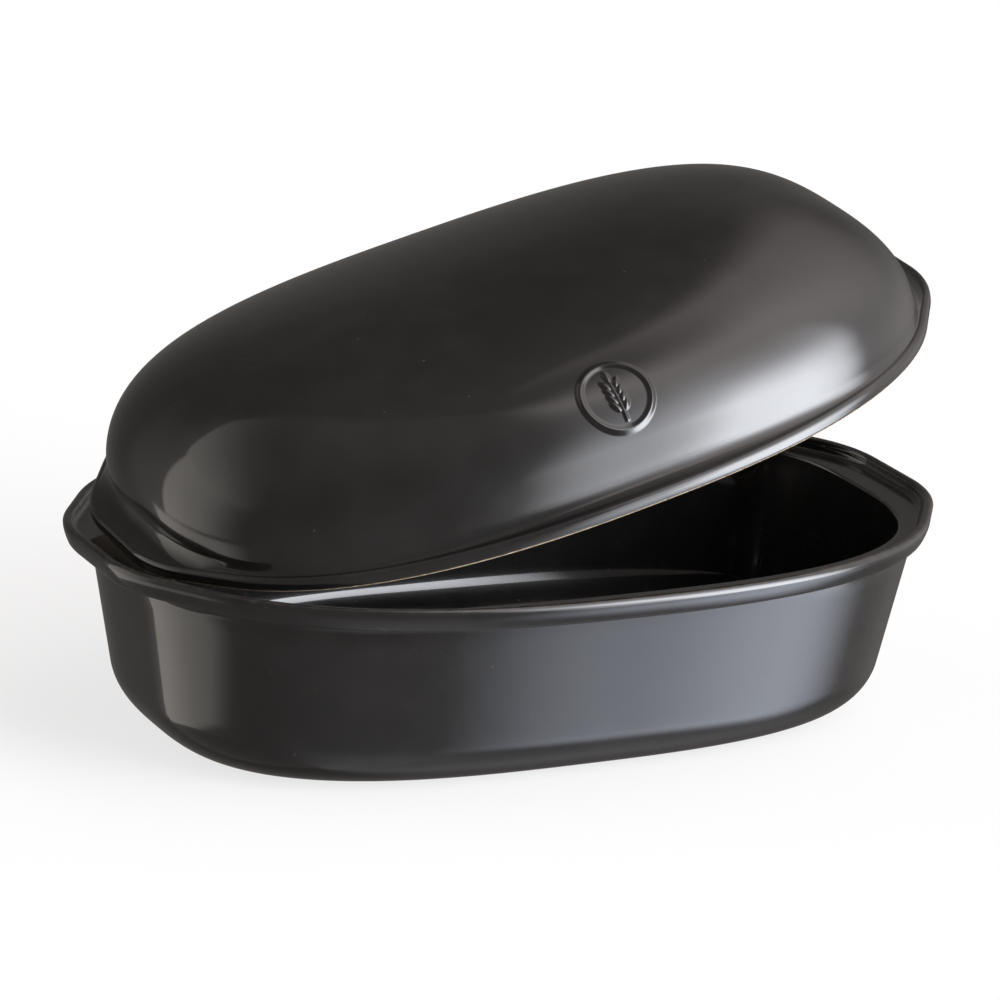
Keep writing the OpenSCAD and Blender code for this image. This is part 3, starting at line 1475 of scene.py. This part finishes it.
@dataclass(frozen=True)
class Studio:
    """Camera, floor, background and lights."""

    heading: float = -27.38
    rise: float = 17.52
    roll: float = 3.37
    distance: float = 2120.2
    focal: float = 5314.7
    target: Point = (-3.18, 0.0, 85.75)
    frame_width: float = 1000.0
    sensor: float = 36.0
    floor_size: float = 30.0
    floor_colour: Colour = (0.9, 0.9, 0.9)
    floor_glow: float = 0.75
    ambient: Colour = (0.128, 0.12, 0.113)
    panels: tuple[LightPanel, ...] = (
        LightPanel(24.7, 70.0, -27.0, 46.0, (12.0, 14.0, 6.0, 46.0), 4.4, COOL, drift=0.26, settled=12.0),
        LightPanel(32.8, 62.3, -24.0, 26.0, (11.0, 26.0, 6.0, 44.0), 9.8, CORE, drift=0.26, settled=12.0),
        LightPanel(31.0, 72.0, -48.0, -27.0, (38.0, 34.0, 14.0, 6.0), 3.8, BLUE),
        LightPanel(14.5, 106.0, -18.0, 78.0, (17.0, 76.0, 50.0, 16.0), 1.15, ROSE),
        LightPanel(17.0, 146.0, 44.0, 80.0, (12.0, 14.0, 50.0, 16.0), 0.85, PINK),
        LightPanel(-142.0, -100.0, -14.0, 22.0, (2.0, 40.0, 4.0, 6.0), 1.05, AMBER),
        LightPanel(-143.0, -94.0, 22.0, 38.0, (2.0, 46.0, 6.0, 46.0), 1.0, AMBER, drift=0.42, settled=42.0),
        LightPanel(-149.0, -90.0, -34.5, -14.0, (1.5, 30.0, 2.0, 4.0), 1.0, AMBER, lean=-0.07),
        LightPanel(-152.0, 30.0, -95.0, 95.0, (10.0, 20.0, 1.0, 1.0), 0.11, WARM),
        LightPanel(-100.0, 20.0, -60.0, 10.0, (30.0, 20.0, 40.0, 60.0), 0.05, WARM),
        LightPanel(-34.0, 118.0, -95.0, -48.0, (60.0, 60.0, 1.0, 34.0), 0.38, PALE),
        LightPanel(-190.0, 190.0, 66.0, 95.0, (1.0, 1.0, 40.0, 1.0), 0.14, WARM),
    )

    def add_camera(self) -> None:
        """Stands the camera where the reference view was taken from."""
        heading, rise, roll = (math.radians(a) for a in (self.heading, self.rise, self.roll))
        back = Vector(
            (
                math.sin(heading) * math.cos(rise),
                -math.cos(heading) * math.cos(rise),
                math.sin(rise),
            )
        )
        right = (-back).cross(Vector((0.0, 0.0, 1.0))).normalized()
        up = right.cross(-back)
        across = math.cos(roll) * right + math.sin(roll) * up
        above = math.cos(roll) * up - math.sin(roll) * right
        place = Matrix((across, above, back)).transposed().to_4x4()
        place.translation = (Vector(self.target) + back * self.distance) * MM
        camera = bpy.data.cameras.new("camera")
        camera.sensor_width = self.sensor
        camera.lens = self.focal * self.sensor / self.frame_width
        camera.clip_end = 100.0
        holder = bpy.data.objects.new("camera", camera)
        bpy.context.scene.collection.objects.link(holder)
        holder.matrix_world = place
        bpy.context.scene.camera = holder

    def add_floor(self) -> None:
        """Lays a plain pale floor that keeps the shadow."""
        deselect_all()
        bpy.ops.mesh.primitive_plane_add(size=self.floor_size, location=(0.0, 0.0, 0.0))
        floor = bpy.context.object
        floor.name = "floor"
        material = bpy.data.materials.new("floor_paper")
        material.use_nodes = True
        board = NodeBoard(material.node_tree)
        paper = board.add("ShaderNodeBsdfDiffuse")
        board.feed(paper.inputs["Color"], self.floor_colour)
        glow = board.add("ShaderNodeEmission")
        board.feed(glow.inputs["Strength"], 1.0)
        rays = board.add("ShaderNodeLightPath")
        seen = board.maths("MULTIPLY", rays.outputs["Is Camera Ray"], self.floor_glow)
        mix = board.add("ShaderNodeMixShader")
        board.feed(mix.inputs[0], seen)
        board.feed(mix.inputs[1], paper.outputs[0])
        board.feed(mix.inputs[2], glow.outputs[0])
        output = board.add("ShaderNodeOutputMaterial")
        board.feed(output.inputs["Surface"], mix.outputs[0])
        floor.data.materials.append(material)
        floor.visible_glossy = False

    def add_world(self) -> None:
        """Makes the background white, and softer as a light than as a background."""
        world = bpy.data.worlds.new("studio")
        bpy.context.scene.world = world
        world.use_nodes = True
        board = NodeBoard(world.node_tree)
        split = board.add("ShaderNodeSeparateXYZ")
        board.feed(split.inputs[0], board.add("ShaderNodeTexCoord").outputs["Generated"])
        x, y, z = split.outputs
        turn = board.maths("ARCTAN2", x, board.maths("MULTIPLY", y, -1.0))
        heading = board.maths("DEGREES", turn)
        rise = board.maths("DEGREES", board.maths("ARCSINE", z))
        glow = self.ambient
        for panel in self.panels:
            total = board.add("ShaderNodeVectorMath", operation="ADD")
            board.feed(total.inputs[0], glow)
            board.feed(total.inputs[1], panel.shine(board, heading, rise))
            glow = total.outputs[0]
        rays = board.add("ShaderNodeLightPath")
        lit = board.add("ShaderNodeBackground")
        board.feed(lit.inputs["Color"], glow)
        white = board.add("ShaderNodeBackground")
        board.feed(white.inputs["Color"], (1.0, 1.0, 1.0))
        mix = board.add("ShaderNodeMixShader")
        board.feed(mix.inputs[0], rays.outputs["Is Camera Ray"])
        board.feed(mix.inputs[1], lit.outputs[0])
        board.feed(mix.inputs[2], white.outputs[0])
        output = board.add("ShaderNodeOutputWorld")
        board.feed(output.inputs["Surface"], mix.outputs[0])

    def build(self) -> None:
        """Sets up the whole studio."""
        self.add_camera()
        self.add_floor()
        self.add_world()
        bpy.context.scene.view_settings.view_transform = "Standard"


def dress(piece: bpy.types.Object, finish: StonewareFinish) -> None:
    """Gives a piece one finish all over."""
    piece.data.materials.clear()
    piece.data.materials.append(finish.material())


def main() -> None:
    """Builds the cloche round its CAD frame."""
    logging.basicConfig(level=logging.INFO, format="%(name)s: %(message)s")
    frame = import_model()
    Studio().build()
    glaze = StonewareFinish(
        "charcoal_glaze", deep=(0.0062, 0.0058, 0.0055), light=(0.0104, 0.0097, 0.0091)
    )
    lid_glaze = StonewareFinish(
        "charcoal_lid_glaze", deep=(0.0066, 0.0062, 0.0058), light=(0.0108, 0.0101, 0.0095)
    )

    headings = Headings(BakingDish.body).values()
    dish = BakingDish(headings)
    dish_piece = dish.build()
    dress(dish_piece, glaze)
    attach(dish_piece, "dish")
    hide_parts("baking_dish")
    LOG.info("dish: %d faces", len(dish_piece.data.polygons))

    lid = DomedLid(headings, dish.rim)
    place = lid.propped(frame["joints"][0], dish.ledge)
    lid_piece = lid.build(place)
    dress(lid_piece, lid_glaze)
    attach(lid_piece, "lid")
    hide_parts("domed_lid")
    LOG.info("lid: %d faces", len(lid_piece.data.polygons))

    medallion_piece = Medallion().build(lid, place)
    dress(medallion_piece, lid_glaze)
    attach(medallion_piece, "lid")
    LOG.info("medallion: %d faces", len(medallion_piece.data.polygons))


if __name__ == "__main__":
    main()
